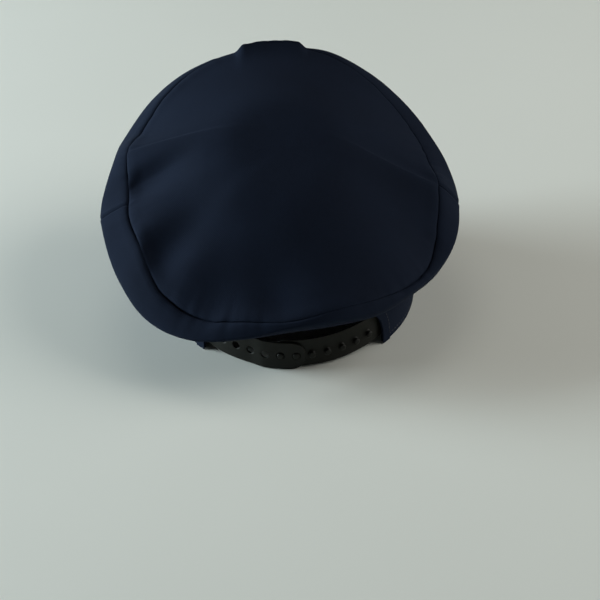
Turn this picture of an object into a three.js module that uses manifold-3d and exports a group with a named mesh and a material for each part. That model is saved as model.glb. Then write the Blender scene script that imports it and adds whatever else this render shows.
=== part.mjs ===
// A soft peaked cap, lying on its headband: a round top panel, a flared side ring sewn from
// two halves, a headband with an arched gap at the back, a two-piece snap strap across the gap
// and a short peak. Millimetres, +Z up; the peak points along -Y and the strap is at the back, +Y.
import * as THREE from "three";
import { mergeVertices } from "three/addons/utils/BufferGeometryUtils.js";
import Module from "manifold-3d";

// Walls and the clearance kept between neighbouring pieces
const CLOTH_WALL = 1.6;
const BAND_WALL = 2.4;
const PEAK_WALL = 3;
const STRAP_WALL = 1.5;
const GAP = 0.35;

// Headband: an oval ring, outside sizes at its top and at its foot, where the sides lean in;
// its lower edge lifts at the front to clear the peak
const BAND_HALF_WIDTH = 88;
const BAND_HALF_LENGTH = 96;
const FOOT_HALF_WIDTH = 86;
const FOOT_HALF_LENGTH = 99;
const BAND_TOP = 44;
const BAND_FRONT_LIFT = 18;
const BAND_LIFT_REACH = 105; // degrees either side of the front over which the edge lifts

// Arched gap at the back of the headband: a squared-off half oval
const ARCH_HALF_WIDTH = 59.6;
const ARCH_TOP = 38;
const ARCH_SQUARENESS = 3.3;
const ARCH_STEPS = 36;
const CUT_MARGIN = 5; // how far a cut runs past what it cuts

// Crown: the sections are set out round a middle a little to the left of the headband's
const CROWN_MIDDLE_X = 2;
const TOP_RISE = 29;
const MIDDLE_SHARE = 0.36; // share of the top panel that stays flat in its middle
const MIDDLE_BLEND = 0.06;
const SEAM_WAVES = 8; // waves of the seam's height that carry on into the top panel
const RIM_SHARE = 0.4; // share of a ring section that lies above the rim
const RIM_FULLNESS = 0.6; // how full the ring is from the seam to the rim; 0.5 is a straight slope
const RIM_SWELL = 3; // least drop that the fullness is taken from
const SIDE_SEAM_LEFT = 7; // degrees
const SIDE_SEAM_RIGHT = 179;

// How the ring runs from the rim to the headband, at the back and at the front
const BACK_TURN = { rimDrop: 4, reach: 14, rise: -9 };
const FRONT_TURN = { rimDrop: 26, reach: 5, rise: 27 };
const RISE_BIAS = 1.6; // keeps the lift of the ring's foot towards the front

// Low step in the seam at the front of the crown, with sloping shoulders
const STAY_MIDDLE_X = 8;
const STAY_HALF_WIDTH = 19.5;
const STAY_SHOULDER = 7;
const STAY_RISE = 5.5;
const STAY_FADE = 17;

// One row per section of the crown, going round from the left side (0) by the back (90):
// the seam of the top panel and the widest line of the ring, as reach and height
const CROWN_SECTIONS = [
  { angle: 0, seamReach: 106, seamHeight: 83, rimReach: 125, rimHeight: 73 },
  { angle: 15, seamReach: 109, seamHeight: 79, rimReach: 127, rimHeight: 69 },
  { angle: 30, seamReach: 112, seamHeight: 73, rimReach: 130, rimHeight: 55 },
  { angle: 45, seamReach: 119, seamHeight: 56, rimReach: 133, rimHeight: 42 },
  { angle: 60, seamReach: 119, seamHeight: 47, rimReach: 132, rimHeight: 39 },
  { angle: 75, seamReach: 118, seamHeight: 51, rimReach: 125, rimHeight: 43 },
  { angle: 90, seamReach: 118, seamHeight: 53, rimReach: 121, rimHeight: 50 },
  { angle: 105, seamReach: 116, seamHeight: 57, rimReach: 119, rimHeight: 51 },
  { angle: 120, seamReach: 114, seamHeight: 55, rimReach: 117, rimHeight: 48 },
  { angle: 135, seamReach: 112, seamHeight: 52, rimReach: 115, rimHeight: 50 },
  { angle: 150, seamReach: 109, seamHeight: 53, rimReach: 115, rimHeight: 50 },
  { angle: 165, seamReach: 105, seamHeight: 68, rimReach: 118, rimHeight: 58 },
  { angle: 180, seamReach: 104, seamHeight: 82, rimReach: 118, rimHeight: 67 },
  { angle: 195, seamReach: 104, seamHeight: 81, rimReach: 119, rimHeight: 73 },
  { angle: 210, seamReach: 110, seamHeight: 83, rimReach: 124, rimHeight: 78 },
  { angle: 225, seamReach: 114, seamHeight: 96, rimReach: 127, rimHeight: 93 },
  { angle: 240, seamReach: 117, seamHeight: 112, rimReach: 128, rimHeight: 109 },
  { angle: 255, seamReach: 120, seamHeight: 123, rimReach: 126, rimHeight: 122 },
  { angle: 270, seamReach: 120, seamHeight: 127, rimReach: 125, rimHeight: 122 },
  { angle: 285, seamReach: 119, seamHeight: 126, rimReach: 126, rimHeight: 121 },
  { angle: 300, seamReach: 119, seamHeight: 120, rimReach: 130, rimHeight: 114 },
  { angle: 315, seamReach: 116, seamHeight: 110, rimReach: 129, rimHeight: 103 },
  { angle: 330, seamReach: 113, seamHeight: 97, rimReach: 128, rimHeight: 88 },
  { angle: 345, seamReach: 111, seamHeight: 97, rimReach: 121, rimHeight: 89 },
];

// One row per fold of the top panel: it starts at the seam end and fades out at the other, and
// its widths are those to the left and the right of it as it runs
const TOP_FOLDS = [
  { name: "left ridge", fromX: 112, fromY: -26, toX: 14, toY: -18, left: 8, right: 18, height: 3.8 },
  { name: "left pocket", fromX: 110, fromY: -5, toX: 54, toY: -5, left: 5, right: 14, height: -8 },
  { name: "left shoulder", fromX: 104, fromY: 45, toX: 60, toY: 35, left: 16, right: 9, height: 3 },
  { name: "left dent", fromX: 103, fromY: 62, toX: 30, toY: 42, left: 9, right: 12, height: -5.2 },
  { name: "lower left ridge", fromX: 76, fromY: 93, toX: 44, toY: 53, left: 13, right: 18, height: 4 },
  { name: "lower left valley", fromX: 58, fromY: 108, toX: 28, toY: 69, left: 11, right: 13, height: -1.6 },
  { name: "back hollow", fromX: 10, fromY: 118, toX: 18, toY: 58, left: 12, right: 14, height: -4 },
  { name: "right back swell", fromX: -84, fromY: 84, toX: 0, toY: 20, left: 22, right: 22, height: 2.5 },
  { name: "right ridge", fromX: -104, fromY: 5, toX: -26, toY: -16, left: 14, right: 5, height: 3.4 },
];
const FOLD_HOLD = 0.15; // share of a fold's length that keeps its full height
const FOLD_SPREAD = 0.8; // how much wider a fold grows towards its far end
const FOLD_EDGE = 14; // folds die out this steeply beside the seam

// Peak: a crescent under the front of the headband, sloping down to the floor line
const PEAK_HALF_SPREAD = 72; // degrees either side of the front
const PEAK_DEPTH = 48;
const PEAK_END_DEPTH = 4;
const PEAK_SHAPE = 1.15;
const PEAK_CAMBER = 4;

// Snap strap: two flat pieces that overlap behind the head
const STRAP_HALF_WIDTH = 82.3; // oval the strap's inner face follows
const STRAP_HALF_LENGTH = 94;
const STRAP_WIDTH = 21;
const STRAP_PACE = 85; // strap length for each radian round the head
const STRAP_END = 84;
const STRAP_END_LIFT = 7.5;
const STRAP_SLIP = 1.2; // the right piece sits this much higher
const HOLE_PITCH = 10.4;
const FIRST_HOLE = -1; // along the strap from the middle of the back, left is positive
const HOLE_COUNT = 6;
const HOLE_RADIUS = 2.6;
const POST_RADIUS = 2.1;
const POST_HEIGHT = 2.8;
const POST_COUNT = 7;
const POST_SIDES = 12;
const HOLED_TIP = -7.5;
const POSTED_TIP = 16;
const STEP_OVER = { from: 32, to: 19 }; // where the left piece steps out over the right one
const TIP_BLUNTNESS = 0.35; // half width of a strap's blunt tip, as a share of the strap's
const TIP_CROWDING = 1.6; // sections crowd towards the rounded tip

// Sampling
const ROUND_STEPS = 90;
const TOP_RINGS = [0, 0.15, 0.3, 0.43, 0.54, 0.64, 0.73, 0.81, 0.88, 0.94, 0.975];
const RING_STEPS = [0.13, 0.27, 0.4, 0.5, 0.62, 0.74, 0.87, 1];
const BAND_STEPS = 120;
const PEAK_STEPS = 36;
const PEAK_ROWS = [0.12, 0.35, 0.58, 0.8, 1];
const STRAP_STEPS = 24;
const STRAP_ROWS = 2;
const LARGEST_MITRE = 1.6;
const SEAM_REACH = { topInner: 0.97, topOuter: 0.995, ringInner: 0.005, ringOuter: 0.06 };

const NAVY = 0x1c2536;
const BLACK = 0x16170f;

const wasm = await Module();
wasm.setup();

const radians = (degrees) => THREE.MathUtils.degToRad(degrees);
const smooth = THREE.MathUtils.smoothstep;
const mix = THREE.MathUtils.lerp;

// A column of the section table at any angle, as a smooth closed curve
function sectionValue(column, angle) {
  const rows = CROWN_SECTIONS.length;
  const place = (THREE.MathUtils.euclideanModulo(angle, 360) / 360) * rows;
  const row = Math.floor(place);
  const u = place - row;
  const value = (step) => CROWN_SECTIONS[(row + step + rows) % rows][column];
  const [before, start, end, after] = [-1, 0, 1, 2].map(value);
  const slopeStart = (end - before) / 2;
  const slopeEnd = (after - start) / 2;
  return (
    start * (2 * u ** 3 - 3 * u ** 2 + 1) +
    slopeStart * (u ** 3 - 2 * u ** 2 + u) +
    end * (3 * u ** 2 - 2 * u ** 3) +
    slopeEnd * (u ** 3 - u ** 2)
  );
}

function stayRise(x, y) {
  if (y > 0) return 0;
  const away = Math.abs(x - STAY_MIDDLE_X);
  return STAY_RISE * (1 - smooth(away, STAY_HALF_WIDTH, STAY_HALF_WIDTH + STAY_SHOULDER));
}

// A point of the crown at a reach and height in one direction
function crownPoint(angle, reach, height) {
  const turn = radians(angle);
  return new THREE.Vector3(CROWN_MIDDLE_X + reach * Math.cos(turn), reach * Math.sin(turn), height);
}

// The seam's height split into waves round the cap, each with its cosine and sine part
const seamWaves = Array.from({ length: SEAM_WAVES + 1 }, (_, order) => {
  const rows = CROWN_SECTIONS.length;
  const share = (order === 0 ? 1 : 2) / rows;
  const sum = (wave) =>
    CROWN_SECTIONS.reduce((total, row) => total + row.seamHeight * wave(order * radians(row.angle)), 0);
  return { order, cosine: share * sum(Math.cos), sine: share * sum(Math.sin) };
});

// Height of a slack sheet hung from the seam: each wave dies out inwards at its own pace
function hungHeight(angle, share) {
  const turn = radians(angle);
  let height = 0;
  let seamHeight = 0;
  for (const { order, cosine, sine } of seamWaves) {
    const wave = cosine * Math.cos(order * turn) + sine * Math.sin(order * turn);
    height += wave * share ** order;
    seamHeight += wave;
  }
  return height + (sectionValue("seamHeight", angle) - seamHeight) * share ** SEAM_WAVES;
}

function foldRise(x, y) {
  let rise = 0;
  for (const { fromX, fromY, toX, toY, left, right, height } of TOP_FOLDS) {
    const runX = toX - fromX;
    const runY = toY - fromY;
    const run = Math.hypot(runX, runY);
    const along = ((x - fromX) * runX + (y - fromY) * runY) / run ** 2;
    const across = ((x - fromX) * runY - (y - fromY) * runX) / run;
    const spread = (across < 0 ? left : right) * (1 + FOLD_SPREAD * Math.max(along, 0));
    rise += height * Math.exp(-((across / spread) ** 2)) * (1 - smooth(along, FOLD_HOLD, 1));
  }
  return rise;
}

// How far down the slope round the panel's flat middle: 0 in the middle, 1 at the seam
function slopeShare(share) {
  const bent = (value) => Math.log1p(Math.exp((value - MIDDLE_SHARE) / MIDDLE_BLEND));
  return (bent(share) - bent(0)) / (bent(1) - bent(0));
}

// Top panel: share runs from 0 in the middle to 1 at the seam
function topPoint(angle, share) {
  const point = crownPoint(angle, share * sectionValue("seamReach", angle), hungHeight(angle, share));
  point.z += TOP_RISE * (1 - slopeShare(share));
  point.z += foldRise(point.x, point.y) * (1 - share ** FOLD_EDGE);
  point.z += stayRise(point.x, point.y) * share ** STAY_FADE;
  return point;
}

// An outside point of the headband, or one further in; the oval is the one at its own height
// unless another height is named
function bandPoint(angle, height, inset = 0, ovalHeight = height) {
  const turn = radians(angle);
  const share = ovalHeight / BAND_TOP;
  return new THREE.Vector3(
    (mix(FOOT_HALF_WIDTH, BAND_HALF_WIDTH, share) - inset) * Math.cos(turn),
    (mix(FOOT_HALF_LENGTH, BAND_HALF_LENGTH, share) - inset) * Math.sin(turn),
    height,
  );
}

// Side ring: share runs from 0 at the seam, by the rim, to 1 at the top of the headband
function ringPoint(angle, share) {
  const seam = crownPoint(angle, sectionValue("seamReach", angle), sectionValue("seamHeight", angle));
  const rim = crownPoint(angle, sectionValue("rimReach", angle), sectionValue("rimHeight", angle));
  const point = new THREE.Vector3();
  if (share <= RIM_SHARE) {
    const swell = seam.clone().lerp(rim, RIM_FULLNESS);
    swell.z = rim.z + RIM_FULLNESS * Math.max(seam.z - rim.z, RIM_SWELL);
    new THREE.QuadraticBezierCurve3(seam, swell, rim).getPoint(share / RIM_SHARE, point);
    point.z += stayRise(point.x, point.y) * (1 - share / RIM_SHARE);
    return point;
  }
  const front = (1 - Math.sin(radians(angle))) / 2;
  const turned = (key, power = 1) => mix(BACK_TURN[key], FRONT_TURN[key], front ** power);
  const foot = bandPoint(angle, BAND_TOP + GAP);
  const outward = new THREE.Vector3(Math.cos(radians(angle)), Math.sin(radians(angle)), 0);
  const below = rim.clone().setZ(rim.z - turned("rimDrop"));
  const beside = foot.clone().addScaledVector(outward, turned("reach"));
  beside.z += turned("rise", RISE_BIAS);
  const under = new THREE.CubicBezierCurve3(rim, below, beside, foot);
  return under.getPoint((share - RIM_SHARE) / (1 - RIM_SHARE), point);
}

// Normals of a grid whose rows go round the cap and whose columns run outwards or down
function gridNormals(grid, wraps) {
  const rows = grid.length;
  const last = grid[0].length - 1;
  return grid.map((row, i) =>
    row.map((_, j) => {
      const next = wraps ? (i + 1) % rows : Math.min(i + 1, rows - 1);
      const previous = wraps ? (i + rows - 1) % rows : Math.max(i - 1, 0);
      const round = grid[next][j].clone().sub(grid[previous][j]);
      const down = row[Math.min(j + 1, last)].clone().sub(row[Math.max(j - 1, 0)]);
      const normal = down.cross(round);
      return normal.lengthSq() > 0 ? normal.normalize() : normal.set(0, 0, 1);
    }),
  );
}

// A closed wall between two grids of the same layout
function wallGeometry(outer, inner, wraps) {
  const corners = [];
  const face = (a, b, c) => {
    if (a.equals(b) || b.equals(c) || c.equals(a)) return;
    for (const corner of [a, b, c]) corners.push(corner.x, corner.y, corner.z);
  };
  const quad = (a, b, c, d) => {
    face(a, b, c);
    face(a, c, d);
  };
  const rows = outer.length;
  const last = outer[0].length - 1;
  for (let i = 0; i < (wraps ? rows : rows - 1); i += 1) {
    const next = (i + 1) % rows;
    for (let j = 0; j < last; j += 1) {
      quad(outer[i][j], outer[i][j + 1], outer[next][j + 1], outer[next][j]);
      quad(inner[i][j], inner[next][j], inner[next][j + 1], inner[i][j + 1]);
    }
    quad(outer[i][last], inner[i][last], inner[next][last], outer[next][last]);
    quad(outer[i][0], outer[next][0], inner[next][0], inner[i][0]);
  }
  for (let j = 0; j < last && !wraps; j += 1) {
    const end = rows - 1;
    quad(outer[end][j], outer[end][j + 1], inner[end][j + 1], inner[end][j]);
    quad(outer[0][j], inner[0][j], inner[0][j + 1], outer[0][j + 1]);
  }
  const geometry = new THREE.BufferGeometry();
  geometry.setAttribute("position", new THREE.Float32BufferAttribute(corners, 3));
  return geometry;
}

// The grid moved inwards by a wall, along its normals
function inset(grid, normals, wall) {
  return grid.map((row, i) => row.map((point, j) => point.clone().addScaledVector(normals[i][j], -wall)));
}

// Where two cloths meet at the seam their walls share one slanted edge
function seamMitre(angle) {
  const step = 360 / ROUND_STEPS;
  const normalOf = (pointAt, inner, outer) => {
    const round = pointAt(angle + step, outer).sub(pointAt(angle - step, outer));
    return pointAt(angle, outer).sub(pointAt(angle, inner)).cross(round).normalize();
  };
  const topNormal = normalOf(topPoint, SEAM_REACH.topInner, SEAM_REACH.topOuter);
  const ringNormal = normalOf(ringPoint, SEAM_REACH.ringInner, SEAM_REACH.ringOuter);
  const mitre = topNormal.clone().add(ringNormal).normalize();
  return mitre.multiplyScalar(Math.min(1 / mitre.dot(topNormal), LARGEST_MITRE));
}

const roundAngles = Array.from({ length: ROUND_STEPS }, (_, i) => (i * 360) / ROUND_STEPS);

function makeCrownTop() {
  const outer = roundAngles.map((angle) => {
    const edge = 1 - GAP / 2 / sectionValue("seamReach", angle);
    return [...TOP_RINGS, edge].map((share) => topPoint(angle, share));
  });
  const normals = gridNormals(outer, true);
  roundAngles.forEach((angle, i) => {
    normals[i][TOP_RINGS.length] = seamMitre(angle);
  });
  return wallGeometry(outer, inset(outer, normals, CLOTH_WALL), true);
}

// One half of the side ring, between two angles
function makeRingHalf(fromAngle, toAngle) {
  const clearance = THREE.MathUtils.radToDeg(GAP / 2 / BAND_HALF_LENGTH);
  const between = roundAngles
    .flatMap((angle) => [angle, angle + 360])
    .filter((angle) => angle > fromAngle && angle < toAngle)
    .sort((a, b) => a - b);
  const angles = [fromAngle + clearance, ...between, toAngle - clearance];
  const outer = angles.map((angle) => {
    const seam = ringPoint(angle, 0);
    const towards = ringPoint(angle, RING_STEPS[0]).sub(seam).normalize();
    const start = seam.addScaledVector(towards, GAP / 2);
    return [start, ...RING_STEPS.map((share) => ringPoint(angle, share))];
  });
  const normals = gridNormals(outer, false);
  angles.forEach((angle, i) => {
    normals[i][0] = seamMitre(angle);
  });
  return wallGeometry(outer, inset(outer, normals, CLOTH_WALL), false);
}

// Height of the headband's lower edge
function bandFoot(angle) {
  const fromFront = THREE.MathUtils.euclideanModulo(angle - 270, 360);
  const away = Math.min(fromFront, 360 - fromFront);
  return BAND_FRONT_LIFT * (1 - smooth(away, 0, BAND_LIFT_REACH));
}

function toSolid(geometry) {
  const bare = new THREE.BufferGeometry();
  const source = geometry.index ? geometry.toNonIndexed() : geometry;
  bare.setAttribute("position", source.getAttribute("position"));
  const merged = mergeVertices(bare, 1e-4);
  const vertProperties = merged.getAttribute("position").array;
  return new wasm.Manifold(
    new wasm.Mesh({ numProp: 3, vertProperties, triVerts: new Uint32Array(merged.index.array) }),
  );
}

function toGeometry(solid) {
  const mesh = solid.getMesh();
  const geometry = new THREE.BufferGeometry();
  geometry.setAttribute("position", new THREE.BufferAttribute(mesh.vertProperties, 3));
  geometry.setIndex(new THREE.BufferAttribute(mesh.triVerts, 1));
  return geometry;
}

// Block that cuts the arched gap, running out through the back
function archCutter() {
  const outline = new THREE.Shape();
  outline.moveTo(ARCH_HALF_WIDTH, -CUT_MARGIN);
  for (let i = 0; i <= ARCH_STEPS; i += 1) {
    const turn = (Math.PI * i) / ARCH_STEPS;
    const squared = (share) => Math.sign(share) * Math.abs(share) ** (2 / ARCH_SQUARENESS);
    outline.lineTo(ARCH_HALF_WIDTH * squared(Math.cos(turn)), ARCH_TOP * squared(Math.sin(turn)));
  }
  outline.lineTo(-ARCH_HALF_WIDTH, -CUT_MARGIN);
  const block = new THREE.ExtrudeGeometry(outline, { depth: BAND_HALF_LENGTH, bevelEnabled: false });
  block.rotateX(Math.PI / 2);
  return block.translate(0, BAND_HALF_LENGTH + CUT_MARGIN, 0);
}

function makeHeadband() {
  const angles = Array.from({ length: BAND_STEPS }, (_, i) => (i * 360) / BAND_STEPS);
  const column = (angle, wall) => [BAND_TOP, bandFoot(angle)].map((z) => bandPoint(angle, z, wall));
  const grid = (wall) => angles.map((angle) => column(angle, wall));
  const ring = toSolid(wallGeometry(grid(0), grid(BAND_WALL), true));
  return toGeometry(ring.subtract(toSolid(archCutter())));
}

function makePeak() {
  const angles = Array.from(
    { length: PEAK_STEPS + 1 },
    (_, i) => 270 + PEAK_HALF_SPREAD * ((2 * i) / PEAK_STEPS - 1),
  );
  const upper = angles.map((angle) => {
    const spread = (angle - 270) / PEAK_HALF_SPREAD;
    const depth = PEAK_END_DEPTH + (PEAK_DEPTH - PEAK_END_DEPTH) * (1 - spread ** 2) ** PEAK_SHAPE;
    const rootHeight = bandFoot(angle) - GAP;
    const root = [BAND_WALL, 0].map((inwards) => bandPoint(angle, rootHeight, inwards));
    const slope = PEAK_ROWS.map((share) => {
      const camber = PEAK_CAMBER * 4 * share * (1 - share) * (depth / PEAK_DEPTH);
      return bandPoint(angle, mix(rootHeight, PEAK_WALL, share) + camber, -depth * share, rootHeight);
    });
    return [...root, ...slope];
  });
  const lower = upper.map((row) => row.map((point) => point.clone().setZ(point.z - PEAK_WALL)));
  return wallGeometry(upper, lower, false);
}

// A point of the strap: along it from the middle of the back, up it, and out from the head
function strapPoint(along, up, out) {
  const turn = Math.PI / 2 - along / STRAP_PACE;
  const point = new THREE.Vector3(
    STRAP_HALF_WIDTH * Math.cos(turn),
    STRAP_HALF_LENGTH * Math.sin(turn),
    STRAP_END_LIFT * (along / STRAP_END) ** 2 + up,
  );
  return point.addScaledVector(strapNormal(along), out);
}

function strapNormal(along) {
  const turn = Math.PI / 2 - along / STRAP_PACE;
  return new THREE.Vector3(
    Math.cos(turn) / STRAP_HALF_WIDTH,
    Math.sin(turn) / STRAP_HALF_LENGTH,
    0,
  ).normalize();
}

// A strap piece with one rounded tip; outAt gives its inner face's distance from the seat
function strapGeometry(tip, end, slip, outAt) {
  const half = STRAP_WIDTH / 2;
  const places = [];
  for (let i = 0; i <= STRAP_STEPS; i += 1) {
    places.push(mix(tip, end, (i / STRAP_STEPS) ** TIP_CROWDING));
  }
  if (end > tip) places.reverse();
  const grid = (wall) =>
    places.map((along) => {
      const fromTip = Math.min(Math.abs(along - tip), half);
      const rounded = Math.max(Math.sqrt(half ** 2 - (half - fromTip) ** 2), half * TIP_BLUNTNESS);
      return Array.from({ length: STRAP_ROWS + 1 }, (_, j) => {
        const up = half + slip + rounded * (1 - (2 * j) / STRAP_ROWS);
        return strapPoint(along, up, outAt(along) + wall);
      });
    });
  return wallGeometry(grid(STRAP_WALL), grid(0), false);
}

// A short round bar standing out from the strap
function strapBar(along, up, radius, from, to) {
  const bar = new THREE.CylinderGeometry(radius, radius, to - from, POST_SIDES);
  const normal = strapNormal(along);
  bar.applyQuaternion(new THREE.Quaternion().setFromUnitVectors(new THREE.Vector3(0, 1, 0), normal));
  const middle = strapPoint(along, up, (from + to) / 2);
  return toSolid(bar.translate(middle.x, middle.y, middle.z));
}

function makeStrapHoles() {
  const stepOut = STRAP_WALL + GAP;
  const outAt = (along) => stepOut * (1 - smooth(along, STEP_OVER.to, STEP_OVER.from));
  let strap = toSolid(strapGeometry(HOLED_TIP, STRAP_END, 0, outAt));
  for (let i = 0; i < HOLE_COUNT; i += 1) {
    const along = FIRST_HOLE + i * HOLE_PITCH;
    const hole = strapBar(along, STRAP_WIDTH / 2, HOLE_RADIUS, -CUT_MARGIN, stepOut + CUT_MARGIN);
    strap = strap.subtract(hole);
  }
  return toGeometry(strap);
}

function makeStrapPosts() {
  let strap = toSolid(strapGeometry(POSTED_TIP, -STRAP_END, STRAP_SLIP, () => 0));
  for (let i = 0; i < POST_COUNT; i += 1) {
    const along = FIRST_HOLE + HOLE_PITCH - i * HOLE_PITCH;
    const post = strapBar(along, STRAP_WIDTH / 2, POST_RADIUS, STRAP_WALL / 2, STRAP_WALL + POST_HEIGHT);
    strap = strap.add(post);
  }
  return toGeometry(strap);
}

function addPiece(group, name, geometry, color, roughness) {
  const material = new THREE.MeshStandardMaterial({ color, roughness, metalness: 0, flatShading: true });
  const mesh = new THREE.Mesh(geometry, material);
  mesh.name = name;
  group.add(mesh);
}

const cap = new THREE.Group();
cap.name = "peaked_cap";
addPiece(cap, "crown_top", makeCrownTop(), NAVY, 0.9);
addPiece(cap, "crown_side_front", makeRingHalf(SIDE_SEAM_RIGHT, SIDE_SEAM_LEFT + 360), NAVY, 0.9);
addPiece(cap, "crown_side_back", makeRingHalf(SIDE_SEAM_LEFT, SIDE_SEAM_RIGHT), NAVY, 0.9);
addPiece(cap, "headband", makeHeadband(), NAVY, 0.9);
addPiece(cap, "peak", makePeak(), NAVY, 0.9);
addPiece(cap, "strap_holes", makeStrapHoles(), BLACK, 0.45);
addPiece(cap, "strap_posts", makeStrapPosts(), BLACK, 0.45);

// The middle of the whole cap's floor outline becomes the origin
const box = new THREE.Box3().setFromObject(cap);
const middle = box.getCenter(new THREE.Vector3());
cap.position.set(-middle.x, -middle.y, -box.min.z);

export default cap;
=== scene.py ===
"""A soft navy peaked cap lying on its headband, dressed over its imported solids.

Shapes are worked out in millimetres round the middle of the headband, and become metres in
the row's frame when a mesh is made. The peak points along -Y, the strap closes the back
along +Y, and +Z is up.
"""

import math
from collections import namedtuple

import bmesh
import bpy
import numpy as np
from mathutils import Matrix, Vector


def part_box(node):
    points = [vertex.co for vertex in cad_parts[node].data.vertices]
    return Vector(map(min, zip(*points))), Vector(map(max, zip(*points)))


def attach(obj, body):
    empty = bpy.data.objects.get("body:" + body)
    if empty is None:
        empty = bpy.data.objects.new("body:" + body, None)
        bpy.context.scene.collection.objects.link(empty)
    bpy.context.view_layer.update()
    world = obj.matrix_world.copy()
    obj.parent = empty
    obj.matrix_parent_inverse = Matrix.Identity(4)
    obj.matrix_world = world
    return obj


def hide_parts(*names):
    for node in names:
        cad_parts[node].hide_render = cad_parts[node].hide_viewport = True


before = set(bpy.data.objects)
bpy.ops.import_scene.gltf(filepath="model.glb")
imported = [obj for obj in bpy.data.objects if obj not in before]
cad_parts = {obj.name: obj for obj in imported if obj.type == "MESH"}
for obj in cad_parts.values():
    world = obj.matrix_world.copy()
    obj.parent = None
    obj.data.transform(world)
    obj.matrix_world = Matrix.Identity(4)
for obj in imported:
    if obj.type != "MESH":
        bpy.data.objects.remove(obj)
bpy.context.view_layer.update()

# Walls and the clearance kept between neighbouring pieces
CLOTH_WALL = 1.5
BAND_WALL = 2.4
PEAK_WALL = 3.0
STRAP_WALL = 1.5
GAP = 0.35
EDGE_STEPS = 6  # faces round a half-round cloth edge
SHARP_ANGLE = 50  # degrees; faces that meet more sharply keep a crisp edge

# Angles go round from the left side (0) by the back (90) and the right (180) to the front
FULL_TURN = 360
FRONT = 270

# Headband: an oval ring, outside sizes at its top and at its foot, where the sides lean in;
# its lower edge lifts at the front to clear the peak
BAND_HALF_WIDTH = 88
BAND_HALF_LENGTH = 96
FOOT_HALF_WIDTH = 86
FOOT_HALF_LENGTH = 99
BAND_TOP = 44
BAND_FRONT_LIFT = 18
BAND_LIFT_REACH = 105  # degrees either side of the front over which the edge lifts
BAND_STEPS = 220
BAND_COLUMNS = 16

# Arched gap at the back of the headband: a squared-off half oval
ARCH_HALF_WIDTH = 59.6
ARCH_TOP = 38
ARCH_SQUARENESS = 3.3
ARCH_STEPS = 72
HEM_WIDTH = 5  # hem folded out along the arch's edge
HEM_WALL = 0.7
HEM_RAISE = 0.55  # how far its face stands out from the headband
HEM_SWELL = 0.12
HEM_PACE = 2.3  # how close its small swells follow one another, against the puckers of the seams
HEM_COLUMNS = 8

# Crown: the sections are set out round a middle a little to the left of the headband's
CROWN_MIDDLE_X = 2
TOP_RISE = 29
MIDDLE_SHARE = 0.36  # share of the top panel that stays flat in its middle
MIDDLE_BLEND = 0.06
SEAM_WAVES = 8  # waves of the seam's height that carry on into the top panel
RIM_SHARE = 0.4  # share of a ring section that lies above the rim
RIM_FULLNESS = 0.6  # how full the ring is from the seam to the rim; 0.5 is a straight slope
RIM_SWELL = 3  # least drop that the fullness is taken from
SIDE_SEAM_LEFT = 7  # degrees
SIDE_SEAM_RIGHT = 179
ROUND_STEPS = 480
ROUND_CROWDING = 20  # degrees that the steps crowd towards the folded left side
TOP_COLUMNS = 80
TOP_CROWDING = 1.5  # columns crowd towards the seam
RING_COLUMNS = 46
RING_CROWDING = 1.35

# How the ring runs from the rim to the headband, at the back and at the front
BACK_RIM_DROP = 4
BACK_REACH = 14
BACK_RISE = -9
FRONT_RIM_DROP = 26
FRONT_REACH = 5
FRONT_RISE = 27
RISE_BIAS = 1.6  # keeps the lift of the ring's foot towards the front

# Low step in the seam at the front of the crown, with sloping shoulders
FRONT_STEP_MIDDLE_X = 8
FRONT_STEP_HALF_WIDTH = 19.5
FRONT_STEP_SHOULDER = 7
FRONT_STEP_RISE = 5.5
FRONT_STEP_FADE = 17  # how steeply it dies out into the top panel

# One row per section of the crown: the seam of the top panel and the widest line of the ring,
# as reach and height
Section = namedtuple("Section", "angle seam_reach seam_height rim_reach rim_height")
CROWN_SECTIONS = [
    Section(0, 106, 83, 125, 73),
    Section(15, 109, 79, 127, 69),
    Section(30, 112, 73, 130, 55),
    Section(45, 119, 56, 133, 42),
    Section(60, 119, 47, 132, 39),
    Section(75, 118, 51, 125, 43),
    Section(90, 118, 53, 121, 50),
    Section(105, 116, 57, 119, 51),
    Section(120, 114, 55, 117, 48),
    Section(135, 112, 52, 115, 50),
    Section(150, 109, 53, 115, 50),
    Section(165, 105, 68, 118, 58),
    Section(180, 104, 82, 118, 67),
    Section(195, 104, 81, 119, 73),
    Section(210, 110, 83, 124, 78),
    Section(225, 114, 96, 127, 93),
    Section(240, 117, 112, 128, 109),
    Section(255, 120, 123, 126, 122),
    Section(270, 120, 127, 125, 122),
    Section(285, 119, 126, 126, 121),
    Section(300, 119, 120, 130, 114),
    Section(315, 116, 110, 129, 103),
    Section(330, 113, 97, 128, 88),
    Section(345, 111, 97, 121, 89),
]

# One row per fold of the top panel: it starts at the seam end and fades out at the other, and
# its widths are those to the left and the right of it as it runs
Fold = namedtuple("Fold", "name from_x from_y to_x to_y left right height")
TOP_FOLDS = [
    Fold("left ridge", 112, -26, 14, -18, 10, 24, 2.4),
    Fold("left pocket", 110, -5, 54, -5, 5, 14, -8),
    Fold("left shoulder", 104, 45, 60, 35, 16, 9, 3),
    Fold("left dent", 103, 62, 30, 42, 9, 12, -5.2),
    Fold("lower left ridge", 76, 93, 44, 53, 13, 18, 4),
    Fold("lower left valley", 58, 108, 28, 69, 11, 13, -1.6),
    Fold("back hollow", 10, 118, 18, 58, 12, 14, -4),
    Fold("right back swell", -84, 84, 0, 20, 22, 22, 2.5),
    Fold("right ridge", -104, 5, -34, -14, 20, 5, 1.8),
]

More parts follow.
